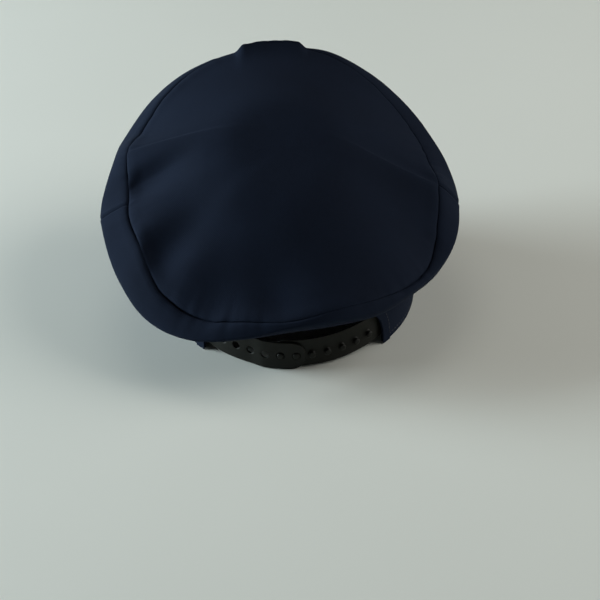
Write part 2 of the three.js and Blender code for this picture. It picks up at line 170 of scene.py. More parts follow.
# Creases too fine for the solids
TOP_CREASES = [
    Fold("pocket crease", 109, -1, 95, -11, 1.6, 2.6, -1.5),
    Fold("upper pucker", 109, 17, 97, 16, 2.2, 2.8, -1.1),
    Fold("lower pucker", 109, 38, 95, 33, 2.2, 3, -1.2),
    Fold("ridge crease", 106, -26, 10, -17, 1.8, 14, 1.8),
    Fold("right crease", -103, 5, -12, -20, 11, 1.5, 2.1),
    Fold("right valley", -104, -3, -30, -22, 4, 6, -0.9),
]
FOLD_HOLD = 0.15  # share of a fold's length that keeps its full height
FOLD_SPREAD = 0.8  # how much wider a fold grows towards its far end
FOLD_EDGE = 14  # folds die out this steeply beside the seam

# Top seam: how deep its groove lies round the cap, slack on the left and taut at the upper right
SeamDepth = namedtuple("SeamDepth", "angle depth")
SEAM_DEPTHS = [
    SeamDepth(0, 0.8),
    SeamDepth(30, 0.9),
    SeamDepth(48, 0.9),
    SeamDepth(75, 0.8),
    SeamDepth(110, 0.4),
    SeamDepth(135, 0.6),
    SeamDepth(150, 0.6),
    SeamDepth(180, 0.6),
    SeamDepth(202, 0.25),
    SeamDepth(270, 0.15),
    SeamDepth(293, 0.4),
    SeamDepth(308, 0.9),
    SeamDepth(336, 0.9),
    SeamDepth(347, 0.3),
]

# Seams: a groove between two rolled edges, and small puckers where the stitches draw the cloth in
SEAM_DIP = 0.8
SEAM_DIP_WIDTH = 1.1
SEAM_EDGE = 0.35  # how round the cloth's edges are at a seam, as a share of a half circle
SEAM_GAP = 0.18  # half the open line between the sewn edges, where the groove is 1 deep
SEAM_ROLL = 0.4
SEAM_ROLL_PLACE = 4.5
SEAM_ROLL_WIDTH = 3.5
SEAM_JAG = 0.35  # how far the seam's line wanders
JAG_PACE = 0.8  # against the puckers
JAG_START = 15  # degrees
JAG_FADE = 40  # how steeply the jags die out into the top panel
SIDE_SEAM_DIP = 1.0
SIDE_SEAM_GAP = 0.25  # half the open line
SIDE_SEAM_ROLL = 0.25
SIDE_SEAM_ROLL_PLACE = 2.8
SIDE_SEAM_ROLL_WIDTH = 2
PUCKER_HEIGHT = 0.4
PUCKER_REACH = 7

# Waves that the puckers are made of: how many go round the cap, how strong, and where they start
Wave = namedtuple("Wave", "count strength start")
PUCKER_WAVES = [
    Wave(43, 1.0, 1.3),
    Wave(67, 0.7, 4.1),
    Wave(101, 0.5, 0.7),
]
PUCKER_SWING = Wave(5, 0.4, 2.1)  # makes the puckers stronger here and weaker there

# Foot of the ring, gathered a little where it is sewn to the headband
FOOT_TUCK = 1.2  # how far it is sewn in below the headband's top
FOOT_END = 0.012  # share of the ring's section left for its rounded edge
FOOT_GATHER = 0.7
FOOT_REACH = 9
FOOT_EASE = 3  # length over which the gathers die out again at the very edge
GATHER_PACE = 0.7  # against the puckers
GATHER_START = 40  # degrees

# Cloth turned in behind a seam, inside the crown
TURNED_WIDTH = 9
TURNED_NEAR = 0.5  # how close to the seam it comes on the side of the top panel
TURNED_WALL = 0.8
TURNED_SINK = 0.3
TURNED_SWELL = 0.25
TURNED_TOP_COLUMNS = 8
TURNED_RING_FROM = 0.03  # shares of the ring's section between which it lies
TURNED_RING_TO = 0.16
TURNED_RING_COLUMNS = 4
SIDE_TURNED_SPREAD = 2  # degrees either side of a side seam
SIDE_TURNED_TO = 0.96
SIDE_TURNED_ROWS = 7
SIDE_TURNED_COLUMNS = 40

# Peak: a crescent under the front of the headband, sloping down to the floor line
PEAK_HALF_SPREAD = 72  # degrees either side of the front
PEAK_DEPTH = 48
PEAK_END_DEPTH = 4
PEAK_SHAPE = 1.15
PEAK_CAMBER = 4
PEAK_STEPS = 150
PEAK_COLUMNS = 34

# Snap strap: two flat pieces that overlap behind the head
STRAP_HALF_WIDTH = 82.3  # oval the strap's inner face follows
STRAP_HALF_LENGTH = 94
STRAP_WIDTH = 21
STRAP_PACE = 85  # strap length for each radian round the head
STRAP_END = 84
STRAP_END_LIFT = 7.5
STRAP_SLIP = 1.2  # the right piece sits this much higher
STRAP_BEVEL = 0.45
STRAP_BEVEL_STEPS = 3
STRAP_SLICE = 1.5  # length of the straight bits that a bent strap is made of
STRAP_TIP_POINTS = 25
HOLE_PITCH = 10.4
FIRST_HOLE = -1  # along the strap from the middle of the back, left is positive
HOLE_COUNT = 6
HOLE_RADIUS = 2.6
HOLE_SIDES = 28
POST_COUNT = 7
HOLED_TIP = -7.5
POSTED_TIP = 16
STEP_OVER_FROM = 32  # where the left piece steps out over the right one
STEP_OVER_TO = 19

# Profile of a snap post, from its foot on the strap to the middle of its domed head
PostRing = namedtuple("PostRing", "radius height")
POST_PROFILE = [
    PostRing(2.75, -0.1),
    PostRing(2.3, 0.2),
    PostRing(2.05, 0.7),
    PostRing(2.0, 1.5),
    PostRing(2.3, 1.9),
    PostRing(2.3, 2.25),
    PostRing(1.9, 2.6),
    PostRing(1.1, 2.78),
    PostRing(0.0, 2.8),
]
POST_SIDES = 24

# Stitches: rows of short bars of thread along the edges of the headband and the peak
STITCH_PITCH = 3.3
STITCH_LENGTH = 2.5
STITCH_RADIUS = 0.27
STITCH_SIDES = 6
STITCH_MARGIN = 4.5  # from the edge
PEAK_STITCH_SHARE = 0.9  # share of the peak's spread that its row may take up
PEAK_STITCH_SAMPLES = 300
PEAK_STITCH_LEAST = 4  # least depth of peak between its row and the headband

# Profile of a stitch, in shares of its half length and its radius
StitchRing = namedtuple("StitchRing", "along fatness rise")
STITCH_PROFILE = [
    StitchRing(-1.0, 0.25, -0.9),
    StitchRing(-0.75, 0.8, -0.25),
    StitchRing(-0.3, 1.0, 0.15),
    StitchRing(0.3, 1.0, 0.15),
    StitchRing(0.75, 0.8, -0.25),
    StitchRing(1.0, 0.25, -0.9),
]

# Small steps that slopes and directions are measured over, and sizes taken as nothing
SMALL_SHARE = 0.02
SMALL_STEP = 0.2
SMALL_REACH = 0.5
NO_LENGTH = 1e-12
NO_NORMAL = 1e-5
PLATE_WELD = 1e-4  # millimetres
WELD = 1e-6  # metres

# View: the camera stands behind the cap, a little to its left, and looks down
VIEW_ELEVATION = 34
VIEW_TURN = 1.5
VIEW_ROLL = 1.0
VIEW_DISTANCE = 1400
VIEW_RIGHT = 6.7
VIEW_UP = -8.6
VIEW_LENS = 120
VIEW_SENSOR = 36
VIEW_CLIP = 50  # metres
FLOOR_HALF_SIZE = 20  # metres

# Soft lights: the direction each one comes from, its width in metres, its power and its colour
DAYLIGHT = (0.86, 1.0, 1.06)
LAMPLIGHT = (1.0, 0.99, 0.95)
Light = namedtuple("Light", "name x y z size power colour")
LIGHTS = [
    Light("window", 0.975, -0.16, 0.15, 1.2, 92, DAYLIGHT),
    Light("far ceiling", 0.10, -0.42, 0.90, 1.2, 3.5, LAMPLIGHT),
    Light("right ceiling", -0.77, 0.0, 0.64, 1.4, 13, LAMPLIGHT),
    Light("low right", -0.97, -0.15, 0.14, 1.2, 16, LAMPLIGHT),
]
LIGHT_DISTANCE = 2.0
LIGHT_AIM_HEIGHT = 0.06
ROOM_COLOUR = (0.94, 1.0, 0.97)
ROOM_LIGHT = 0.05

# Weave of the cloth, in millimetres
TWILL_DIRECTION = (0.8, 0.6, 0)
TWILL_PITCH = 0.9
YARN_DIRECTION = (-0.6, 0.8, 0)
YARN_PITCH = 0.45

# Colours, linear
NAVY_DARK = (0.0058, 0.0090, 0.0178)
NAVY_LIGHT = (0.0092, 0.0142, 0.0280)
THREAD_NAVY = (0.0100, 0.0140, 0.0270)
BLACK_DARK = (0.0042, 0.0046, 0.0033)
BLACK_LIGHT = (0.0075, 0.0082, 0.0058)
FLOOR_DARK = (0.76, 0.77, 0.71)
FLOOR_LIGHT = (0.82, 0.83, 0.77)
THREAD_PAINTED_SHADE = 0.7  # how dark the painted shade is in the grooves between the thread's twists

# Colour sockets of a mixing node
MIX_FIRST = 6
MIX_SECOND = 7
MIX_RESULT = 2

# Where the middle of the headband lies in the row's frame; over the arch, the back of the
# headband reaches furthest at the arch's top
MILLIMETRE = 0.001
band_low, band_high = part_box("headband")
back_reach = FOOT_HALF_LENGTH + (BAND_HALF_LENGTH - FOOT_HALF_LENGTH) * ARCH_TOP / BAND_TOP
middle_x = (band_low.x + band_high.x) / 2
middle_y = band_high.y - MILLIMETRE * back_reach
MIDDLE = np.array([middle_x, middle_y, 0.0])


# Small helpers


def to_frame(points):
    """Millimetres round the headband's middle to metres in the row's frame."""
    return np.asarray(points, float) * MILLIMETRE + MIDDLE


def smooth(value, low, high):
    t = np.clip((np.asarray(value, float) - low) / (high - low), 0, 1)
    return t * t * (3 - 2 * t)


def mix(start, end, share):
    return start + (end - start) * share


def bell(value, width):
    return np.exp(-((value / width) ** 2))


def stacked(x, y, z):
    return np.stack(np.broadcast_arrays(x, y, z), axis=-1).astype(float)


def flattened(points):
    return points * np.array([1.0, 1.0, 0.0])


def unit(vectors):
    length = np.linalg.norm(vectors, axis=-1, keepdims=True)
    return vectors / np.maximum(length, NO_LENGTH)


# Crown shape


def section_value(column, angle):
    """A column of the section table at any angle, as a smooth closed curve."""
    values = np.array([getattr(row, column) for row in CROWN_SECTIONS], float)
    rows = len(values)
    place = np.mod(angle, FULL_TURN) / FULL_TURN * rows
    row = np.floor(place).astype(int)
    u = place - row
    before, start, end, after = (values[(row + step) % rows] for step in (-1, 0, 1, 2))
    slope_start = (end - before) / 2
    slope_end = (after - start) / 2
    return (
        start * (2 * u**3 - 3 * u**2 + 1)
        + slope_start * (u**3 - 2 * u**2 + u)
        + end * (3 * u**2 - 2 * u**3)
        + slope_end * (u**3 - u**2)
    )


def front_step_rise(x, y):
    away = np.abs(x - FRONT_STEP_MIDDLE_X)
    shoulder_end = FRONT_STEP_HALF_WIDTH + FRONT_STEP_SHOULDER
    rise = FRONT_STEP_RISE * (1 - smooth(away, FRONT_STEP_HALF_WIDTH, shoulder_end))
    return np.where(y > 0, 0, rise)


def crown_point(angle, reach, height):
    turn = np.radians(angle)
    return stacked(CROWN_MIDDLE_X + reach * np.cos(turn), reach * np.sin(turn), height)


def seam_waves():
    """The seam's height split into waves round the cap: order, cosine part and sine part."""
    turns = np.radians([row.angle for row in CROWN_SECTIONS])
    heights = np.array([row.seam_height for row in CROWN_SECTIONS], float)
    waves = []
    for order in range(SEAM_WAVES + 1):
        share = (1 if order == 0 else 2) / len(turns)
        cosine = share * np.sum(heights * np.cos(order * turns))
        sine = share * np.sum(heights * np.sin(order * turns))
        waves.append((order, cosine, sine))
    return waves


def hung_height(angle, share):
    """Height of a slack sheet hung from the seam: each wave dies out inwards at its own pace."""
    turn = np.radians(angle)
    height = 0
    seam_height = 0
    for order, cosine, sine in seam_waves():
        wave = cosine * np.cos(order * turn) + sine * np.sin(order * turn)
        height = height + wave * share**order
        seam_height = seam_height + wave
    rest = section_value("seam_height", angle) - seam_height
    return height + rest * share**SEAM_WAVES


def fold_rise(x, y):
    rise = np.zeros_like(x)
    for fold in TOP_FOLDS + TOP_CREASES:
        run_x = fold.to_x - fold.from_x
        run_y = fold.to_y - fold.from_y
        run = math.hypot(run_x, run_y)
        along = ((x - fold.from_x) * run_x + (y - fold.from_y) * run_y) / run**2
        across = ((x - fold.from_x) * run_y - (y - fold.from_y) * run_x) / run
        width = np.where(across < 0, fold.left, fold.right) * (1 + FOLD_SPREAD * np.maximum(along, 0))
        fade = 1 - smooth(along, FOLD_HOLD, 1)
        rise += fold.height * bell(across, width) * fade
    return rise


def seam_jag(angle):
    return SEAM_JAG * pucker(np.asarray(angle) * JAG_PACE + JAG_START)


def seam_reach(angle):
    """Reach of the top seam, with its small jags."""
    return section_value("seam_reach", angle) + seam_jag(angle)


def slope_share(share):
    """How far down the slope round the flat middle of the top panel: 0 in the middle, 1 at the seam."""

    def bent(value):
        return np.logaddexp(0, (value - MIDDLE_SHARE) / MIDDLE_BLEND)

    return (bent(share) - bent(0)) / (bent(1) - bent(0))


def top_point(angle, share):
    """Top panel: share runs from 0 in the middle to 1 at the seam."""
    angle, share = np.broadcast_arrays(angle, share)
    reach = share * section_value("seam_reach", angle) + seam_jag(angle) * share**JAG_FADE
    point = crown_point(angle, reach, hung_height(angle, share))
    x, y = point[..., 0], point[..., 1]
    point[..., 2] += TOP_RISE * (1 - slope_share(share))
    point[..., 2] += fold_rise(x, y) * (1 - share**FOLD_EDGE)
    point[..., 2] += front_step_rise(x, y) * share**FRONT_STEP_FADE
    return point


def band_half_width(height):
    return mix(FOOT_HALF_WIDTH, BAND_HALF_WIDTH, height / BAND_TOP)


def band_point(angle, height, inset=0, oval_height=None):
    """An outside point of the headband, or one further in; the oval is the one at its own
    height unless another height is named."""
    turn = np.radians(angle)
    level = height if oval_height is None else oval_height
    half_length = mix(FOOT_HALF_LENGTH, BAND_HALF_LENGTH, level / BAND_TOP)
    x = (band_half_width(level) - inset) * np.cos(turn)
    y = (half_length - inset) * np.sin(turn)
    return stacked(x, y, height)


def ring_upper(seam, rim, share):
    """The ring from the seam to the rim, a little fuller than a straight slope."""
    swell = mix(seam, rim, RIM_FULLNESS)
    swell[..., 2] = rim[..., 2] + RIM_FULLNESS * np.maximum(seam[..., 2] - rim[..., 2], RIM_SWELL)
    t = share[..., None]
    point = (1 - t) ** 2 * seam + 2 * t * (1 - t) * swell + t**2 * rim
    point[..., 2] += front_step_rise(point[..., 0], point[..., 1]) * (1 - share)
    return point


def ring_lower(angle, rim, share):
    """The ring from the rim to the top of the headband."""
    front = (1 - np.sin(np.radians(angle))) / 2
    rim_drop = mix(BACK_RIM_DROP, FRONT_RIM_DROP, front)
    reach = mix(BACK_REACH, FRONT_REACH, front)
    rise = mix(BACK_RISE, FRONT_RISE, front**RISE_BIAS)
    foot = band_point(angle, BAND_TOP - FOOT_TUCK)
    below = rim - stacked(0, 0, rim_drop)
    turn = np.radians(angle)
    beside = foot + stacked(reach * np.cos(turn), reach * np.sin(turn), rise)
    t = share[..., None]
    return (
        (1 - t) ** 3 * rim
        + 3 * t * (1 - t) ** 2 * below
        + 3 * t**2 * (1 - t) * beside
        + t**3 * foot
    )


def ring_point(angle, share):
    """Side ring: share runs from 0 at the seam, by the rim, to 1 at the top of the headband."""
    angle, share = np.broadcast_arrays(angle, share)
    seam = crown_point(angle, seam_reach(angle), section_value("seam_height", angle))
    rim = crown_point(angle, section_value("rim_reach", angle), section_value("rim_height", angle))
    upper = ring_upper(seam, rim, np.clip(share / RIM_SHARE, 0, 1))
    lower = ring_lower(angle, rim, np.clip((share - RIM_SHARE) / (1 - RIM_SHARE), 0, 1))
    return np.where((share <= RIM_SHARE)[..., None], upper, lower)


# Seam details


def pucker(angle):
    """Uneven small waves along a seam, between about -1 and 1."""
    turn = np.radians(angle)
    swing = np.sin(PUCKER_SWING.count * turn + PUCKER_SWING.start)
    strength = mix(1, swing, PUCKER_SWING.strength)
    waves = sum(wave.strength * np.sin(wave.count * turn + wave.start) for wave in PUCKER_WAVES)
    return strength * waves / sum(wave.strength for wave in PUCKER_WAVES)


def seam_depth(angle):
    angles = [row.angle for row in SEAM_DEPTHS]
    return np.interp(angle, angles, [row.depth for row in SEAM_DEPTHS], period=FULL_TURN)


def seam_allowance(angle):
    """How far a sewn edge's outer line keeps from the middle of the seam."""
    return SEAM_EDGE * CLOTH_WALL / 2 + SEAM_GAP * seam_depth(angle)


def seam_profile(angle, distance):
    """Height of the cloth beside a seam, from the groove over the roll to the flat."""
    depth = seam_depth(angle)
    dip = SEAM_DIP * depth * bell(distance, SEAM_DIP_WIDTH)
    roll = SEAM_ROLL * depth * bell(distance - SEAM_ROLL_PLACE, SEAM_ROLL_WIDTH)
    drawn = PUCKER_HEIGHT * pucker(angle) * np.exp(-distance / PUCKER_REACH)
    return roll + drawn - dip


def side_seam_profile(angle):
    """Groove and rolls of the two side seams of the ring."""
    height = 0
    for seam in (SIDE_SEAM_LEFT, SIDE_SEAM_RIGHT):
        turned = np.mod(angle - seam + FULL_TURN / 2, FULL_TURN) - FULL_TURN / 2
        away = np.abs(np.radians(turned)) * section_value("rim_reach", angle)
        dip = SIDE_SEAM_DIP * bell(away, SEAM_DIP_WIDTH)
        roll = SIDE_SEAM_ROLL * bell(away - SIDE_SEAM_ROLL_PLACE, SIDE_SEAM_ROLL_WIDTH)
        height = height + roll - dip
    return height


def foot_gather(angle, to_foot):
    """Height of the gathers of the ring near its foot."""
    gather = FOOT_GATHER * pucker(angle * GATHER_PACE + GATHER_START) * np.exp(-to_foot / FOOT_REACH)
    return gather * smooth(to_foot, 0, FOOT_EASE)


# Meshes


def run_around(points, wraps):
    """The way from row to row of a grid, or along a line."""
    if wraps:
        return np.roll(points, -1, axis=0) - np.roll(points, 1, axis=0)
    return np.gradient(points, axis=0)


def length_down(grid):
    """Lengths along the columns of a grid, from its first column."""
    steps = np.diff(grid, axis=1, prepend=grid[:, :1])
    return np.linalg.norm(steps, axis=-1).cumsum(axis=1)


def grid_normals(grid, wraps):
    """Normals of a grid whose rows go round the cap and whose columns run outwards or down."""
    normals = np.cross(np.gradient(grid, axis=1), run_around(grid, wraps))
    flat = np.linalg.norm(normals, axis=-1) < NO_NORMAL
    normals[flat] = normals[:, 1].mean(axis=0)
    return unit(normals)


def half_round(grid, normals, wall, wraps, column, roundness):
    """The points round the free edge of a wall, from its outside to its inside."""
    edge = grid[:, column]
    normal = normals[:, column]
    away = unit(np.cross(run_around(edge, wraps), normal))
    if column == 0:
        away = -away
    middle = edge - normal * wall / 2
    turns = np.pi * np.arange(1, EDGE_STEPS) / EDGE_STEPS
    rings = [middle + wall / 2 * (math.cos(t) * normal + roundness * math.sin(t) * away) for t in turns]
    return np.stack(rings, axis=1)


def loop_faces(rows, length, wraps, closed):
    """Quads between the rows of a grid, whose columns close into a loop or don't."""
    row = np.arange(rows if wraps else rows - 1)[:, None]
    column = np.arange(length if closed else length - 1)[None, :]
    after = (row + 1) % rows
    beside = (column + 1) % length
    corners = np.broadcast_arrays(
        row * length + column,
        row * length + beside,
        after * length + beside,
        after * length + column,
    )
    return np.stack(corners, axis=-1).reshape(-1, len(corners)).tolist()


def tube_faces(start, rings, sides, end_cap=True):
    """Faces of a tube whose points follow one another ring by ring, closed at its start."""
    faces = []
    for ring in range(rings - 1):
        low = start + ring * sides
        for side in range(sides):
            beside = (side + 1) % sides
            faces.append([low + side, low + beside, low + sides + beside, low + sides + side])
    faces.append(list(range(start, start + sides))[::-1])
    if end_cap:
        last = start + (rings - 1) * sides
        faces.append(list(range(last, last + sides)))
    return faces


def end_faces(rows, columns, length):
    """Flat faces that close the first and the last row of a wall that doesn't go all round."""
    outside = np.arange(columns)
    inside = columns + EDGE_STEPS - 1 + np.arange(columns)[::-1]
    last = (rows - 1) * length
    faces = []
    for j in range(columns - 1):
        corners = [outside[j], inside[j], inside[j + 1], outside[j + 1]]
        faces.append([int(c) for c in corners])
        faces.append([int(c) + last for c in corners[::-1]])
    lower_round = list(range(columns - 1, columns + EDGE_STEPS))
    upper_round = list(range(length - EDGE_STEPS, length)) + [0]
    for loop in (lower_round, upper_round):
        faces.append(loop[::-1])
        faces.append([c + last for c in loop])
    return faces


def wall_mesh(grid, wall, wraps, pole=False, start_edge=1.0, end_edge=1.0):
    """A closed cloth of one thickness from its outside grid, with rounded edges: points and faces."""
    rows, columns = grid.shape[:2]
    normals = grid_normals(grid, wraps)
    inside = (grid - wall * normals)[:, ::-1]
    parts = [grid, half_round(grid, normals, wall, wraps, -1, end_edge), inside]
    if not pole:
        parts.append(half_round(grid, normals, wall, wraps, 0, start_edge)[:, ::-1])
    points = np.concatenate(parts, axis=1)
    length = points.shape[1]
    faces = loop_faces(rows, length, wraps, closed=not pole)
    if not wraps:
        faces += end_faces(rows, columns, length)
    return points.reshape(-1, 3), faces


def add_object(name, data):
    made = bpy.data.objects.new(name, data)
    bpy.context.scene.collection.objects.link(made)
    return made


def make_object(name, points, faces, material, places=None):
    """A smooth mesh object in the row's frame; places are where its cloth lay when it was flat."""
    mesh = bpy.data.meshes.new(name)
    mesh.from_pydata(to_frame(points).tolist(), [], faces)
    if places is not None:
        layer = mesh.attributes.new("cloth_mm", "FLOAT_VECTOR", "POINT")
        layer.data.foreach_set("vector", np.asarray(places, np.float32).ravel())
    work = bmesh.new()
    work.from_mesh(mesh)
    bmesh.ops.remove_doubles(work, verts=work.verts, dist=WELD)
    bmesh.ops.recalc_face_normals(work, faces=work.faces)
    work.to_mesh(mesh)
    work.free()
    mesh.shade_smooth()
    mesh.set_sharp_from_angle(angle=math.radians(SHARP_ANGLE))
    mesh.materials.append(material)
    return add_object(name, mesh)


def dress(piece, node=None):
    """The piece rides with the cap, and may stand for one of its solids."""
    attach(piece, "root")
    if node:
        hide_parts(node)
    return piece


# Materials


def add_node(tree, kind, inputs=None, **settings):
    made = tree.nodes.new(kind)
    for key, value in settings.items():
        setattr(made, key, value)
    for key, value in (inputs or {}).items():
        if isinstance(value, bpy.types.NodeSocket):
            tree.links.new(value, made.inputs[key])
        else:
            made.inputs[key].default_value = value
    return made


def new_material(name):
    material = bpy.data.materials.new(name)
    material.use_nodes = True
    tree = material.node_tree
    return material, tree, tree.nodes["Principled BSDF"]


def add_colour(tree, shader, share, first, second):
    inputs = {"Factor": share, MIX_FIRST: (*first, 1), MIX_SECOND: (*second, 1)}
    mixed = add_node(tree, "ShaderNodeMix", inputs, data_type="RGBA").outputs[MIX_RESULT]
    tree.links.new(mixed, shader.inputs["Base Color"])


def object_place(tree):
    return add_node(tree, "ShaderNodeTexCoord").outputs["Object"]


def noise(tree, place, scale, detail):
    inputs = {"Vector": place, "Scale": scale, "Detail": detail}
    return add_node(tree, "ShaderNodeTexNoise", inputs).outputs[0]


def calculated(tree, operation, *values):
    inputs = dict(enumerate(values))
    return add_node(tree, "ShaderNodeMath", inputs, operation=operation).outputs[0]


def add_bump(tree, shader, height, strength, distance):
    inputs = {"Height": height, "Strength": strength, "Distance": distance}
    bump = add_node(tree, "ShaderNodeBump", inputs)
    tree.links.new(bump.outputs["Normal"], shader.inputs["Normal"])


def ribs(tree, place, direction, pitch):
    """Waves of one pitch across the cloth, from -1 to 1."""
    scale = 2 * math.pi / pitch
    along = [scale * part for part in direction]
    dot = add_node(tree, "ShaderNodeVectorMath", {0: place, 1: along}, operation="DOT_PRODUCT")
    return calculated(tree, "SINE", dot.outputs["Value"])


def weighted(tree, terms):
    """Sum of sockets, each with its weight."""
    total = None
    for socket, weight in terms:
        scaled = calculated(tree, "MULTIPLY", socket, weight)
        total = scaled if total is None else calculated(tree, "ADD", total, scaled)
    return total


def add_roughness(tree, shader, least, terms):
    rough = calculated(tree, "ADD", weighted(tree, terms), least)
    tree.links.new(rough, shader.inputs["Roughness"])


def make_cloth():
    """Matt twill with a faint diagonal rib, patchy tone and a soft sheen."""
    material, tree, shader = new_material("navy_cloth")
    place = add_node(tree, "ShaderNodeAttribute", attribute_name="cloth_mm").outputs["Vector"]
    solid = object_place(tree)
    twill = ribs(tree, place, TWILL_DIRECTION, TWILL_PITCH)
    yarn = ribs(tree, place, YARN_DIRECTION, YARN_PITCH)
    patches = noise(tree, solid, scale=30, detail=4)
    fibres = noise(tree, solid, scale=1500, detail=2)
    tone = weighted(tree, [(patches, 0.8), (fibres, 0.45), (twill, 0.1), (yarn, 0.06)])
    add_colour(tree, shader, tone, NAVY_DARK, NAVY_LIGHT)
    add_roughness(tree, shader, least=0.76, terms=[(patches, 0.12), (fibres, 0.1)])
    height = weighted(tree, [(twill, 0.5), (yarn, 0.3), (fibres, 0.8)])
    add_bump(tree, shader, height, strength=0.35, distance=0.00012)
    shader.inputs["Specular IOR Level"].default_value = 0.05
    shader.inputs["Sheen Weight"].default_value = 0.015
    shader.inputs["Sheen Roughness"].default_value = 0.45
    shader.inputs["Sheen Tint"].default_value = (0.45, 0.55, 0.85, 1)
    return material


def make_thread():
    """Sewing thread, a little lighter than the cloth, with its twist drawn as painted shade in the
    grooves between the twists.
    """
    material, tree, shader = new_material("navy_thread")
    inputs = {"Vector": object_place(tree), "Scale": 600, "Distortion": 2.0}
    twist = add_node(tree, "ShaderNodeTexWave", inputs).outputs[1]
    # painted shade: the thread's colour is darker in the grooves between its twists
    dark = tuple(part * THREAD_PAINTED_SHADE for part in THREAD_NAVY)
    add_colour(tree, shader, twist, dark, THREAD_NAVY)
    shader.inputs["Roughness"].default_value = 0.6
    return material


def make_plastic():
    """Moulded black plastic, satin, with faint flow marks."""
    material, tree, shader = new_material("black_plastic")
    solid = object_place(tree)
    flow = noise(tree, solid, scale=90, detail=5)
    grain = noise(tree, solid, scale=2200, detail=2)
    add_colour(tree, shader, flow, BLACK_DARK, BLACK_LIGHT)
    add_roughness(tree, shader, least=0.36, terms=[(flow, 0.16), (grain, 0.14)])
    add_bump(tree, shader, grain, strength=0.15, distance=0.00008)
    shader.inputs["Specular IOR Level"].default_value = 0.22
    return material


def make_floor_paint():
    """Pale matt paper."""
    material, tree, shader = new_material("pale_floor")
    cloud = noise(tree, object_place(tree), scale=3, detail=3)
    add_colour(tree, shader, cloud, FLOOR_DARK, FLOOR_LIGHT)
    shader.inputs["Roughness"].default_value = 0.85
    return material


# Crown pieces


def round_angles():
    """Angles all round the crown, closer together on the folded left side."""
    even = np.arange(ROUND_STEPS)[:, None] * FULL_TURN / ROUND_STEPS
    return even - ROUND_CROWDING * np.sin(np.radians(even - ROUND_CROWDING))


def top_grid():
    """Outside grid of the top panel, with the roll and puckers beside its seam."""
    angles = round_angles()
    reach = seam_reach(angles)
    edge = 1 - seam_allowance(angles) / reach
    crowd = 1 - (1 - np.linspace(0, 1, TOP_COLUMNS)[None, :]) ** TOP_CROWDING
    share = edge * crowd
    grid = top_point(angles, share)
    normals = grid_normals(grid, True)
    return grid + normals * seam_profile(angles, (1 - share) * reach)[..., None]


def flat_places(grid, wall_points):
    """Places on the cut cloth for all the points of a wall made from a grid."""
    rows = grid.shape[0]
    per_row = len(wall_points) // rows
    around = np.linalg.norm(np.roll(grid, -1, axis=0) - grid, axis=-1).max(axis=1)
    across = np.cumsum(around) - around
    points = wall_points.reshape(rows, per_row, 3)
    down = length_down(points)
    middle = down[:, grid.shape[1] - 1 : grid.shape[1]]
    depth = middle - np.abs(down - middle)
    return stacked(across[:, None], depth, 0).reshape(-1, 3)


def make_crown_top(cloth):
    points, faces = wall_mesh(top_grid(), CLOTH_WALL, wraps=True, pole=True, end_edge=SEAM_EDGE)
    piece = make_object("top_panel", points, faces, cloth, flattened(points))
    return dress(piece, "crown_top")


def ring_start(angle):
    """Share of the ring's section at which its sewn edge begins."""
    first_step = ring_point(angle, SMALL_SHARE) - ring_point(angle, 0.0)
    pace = np.linalg.norm(first_step, axis=-1) / SMALL_SHARE
    return seam_allowance(angle) / pace


def ring_grid(from_angle, to_angle):
    """Outside grid of one half of the side ring, with its seams and the gathers at its foot."""
    clearance = math.degrees(SIDE_SEAM_GAP / BAND_HALF_LENGTH)
    steps = round(ROUND_STEPS * (to_angle - from_angle) / FULL_TURN)
    angles = np.linspace(from_angle + clearance, to_angle - clearance, steps + 1)[:, None]
    crowd = np.linspace(0, 1, RING_COLUMNS)[None, :] ** RING_CROWDING
    grid = ring_point(angles, mix(ring_start(angles), 1 - FOOT_END, crowd))
    distance = length_down(grid) + SEAM_EDGE * CLOTH_WALL / 2
    gather = foot_gather(angles, distance[:, -1:] - distance)
    height = seam_profile(angles, distance) + side_seam_profile(angles) + gather
    return grid + grid_normals(grid, False) * height[..., None]


def make_ring_half(name, node, from_angle, to_angle, cloth):
    """One half of the side ring, between two side seams."""
    grid = ring_grid(from_angle, to_angle)
    points, faces = wall_mesh(grid, CLOTH_WALL, wraps=False, start_edge=SEAM_EDGE)
    piece = make_object(name, points, faces, cloth, flat_places(grid, points))
    return dress(piece, node)


def make_top_turning(cloth):
    """The edges of the cloth turned in behind the top seam, inside the crown."""
    angles = round_angles()
    inwards = np.linspace(TURNED_WIDTH, TURNED_NEAR, TURNED_TOP_COLUMNS)[None, :]
    down = np.linspace(TURNED_RING_FROM, TURNED_RING_TO, TURNED_RING_COLUMNS)[None, :]
    top = top_point(angles, 1 - inwards / seam_reach(angles))
    ring = ring_point(angles, down)
    sunk = CLOTH_WALL + TURNED_SINK + TURNED_SWELL * pucker(angles)
    below_top = top - grid_normals(top, True) * sunk[..., None]
    below_ring = ring - grid_normals(ring, True) * sunk[..., None]
    grid = np.concatenate([below_top, below_ring], axis=1)
    points, faces = wall_mesh(grid, TURNED_WALL, wraps=True)
    piece = make_object("top_seam_turning", points, faces, cloth, flat_places(grid, points))
    return dress(piece)


def make_side_turning(name, seam, cloth):
    """The edges turned in behind one side seam of the ring, down to the headband."""
    angles = seam + SIDE_TURNED_SPREAD * np.linspace(-1, 1, SIDE_TURNED_ROWS)[:, None]
    down = np.linspace(TURNED_RING_TO, SIDE_TURNED_TO, SIDE_TURNED_COLUMNS)[None, :]
    outside = ring_point(angles, down)
    grid = outside - grid_normals(outside, False) * (CLOTH_WALL + TURNED_SINK)
    points, faces = wall_mesh(grid, TURNED_WALL, wraps=False)
    piece = make_object(name, points, faces, cloth, flat_places(grid, points))
    return dress(piece)


# Headband and peak


def band_foot(angle):
    """Height of the headband's lower edge, away from the arch."""
    from_front = np.mod(np.asarray(angle, float) - FRONT, FULL_TURN)
    away = np.minimum(from_front, FULL_TURN - from_front)
    return BAND_FRONT_LIFT * (1 - smooth(away, 0, BAND_LIFT_REACH))


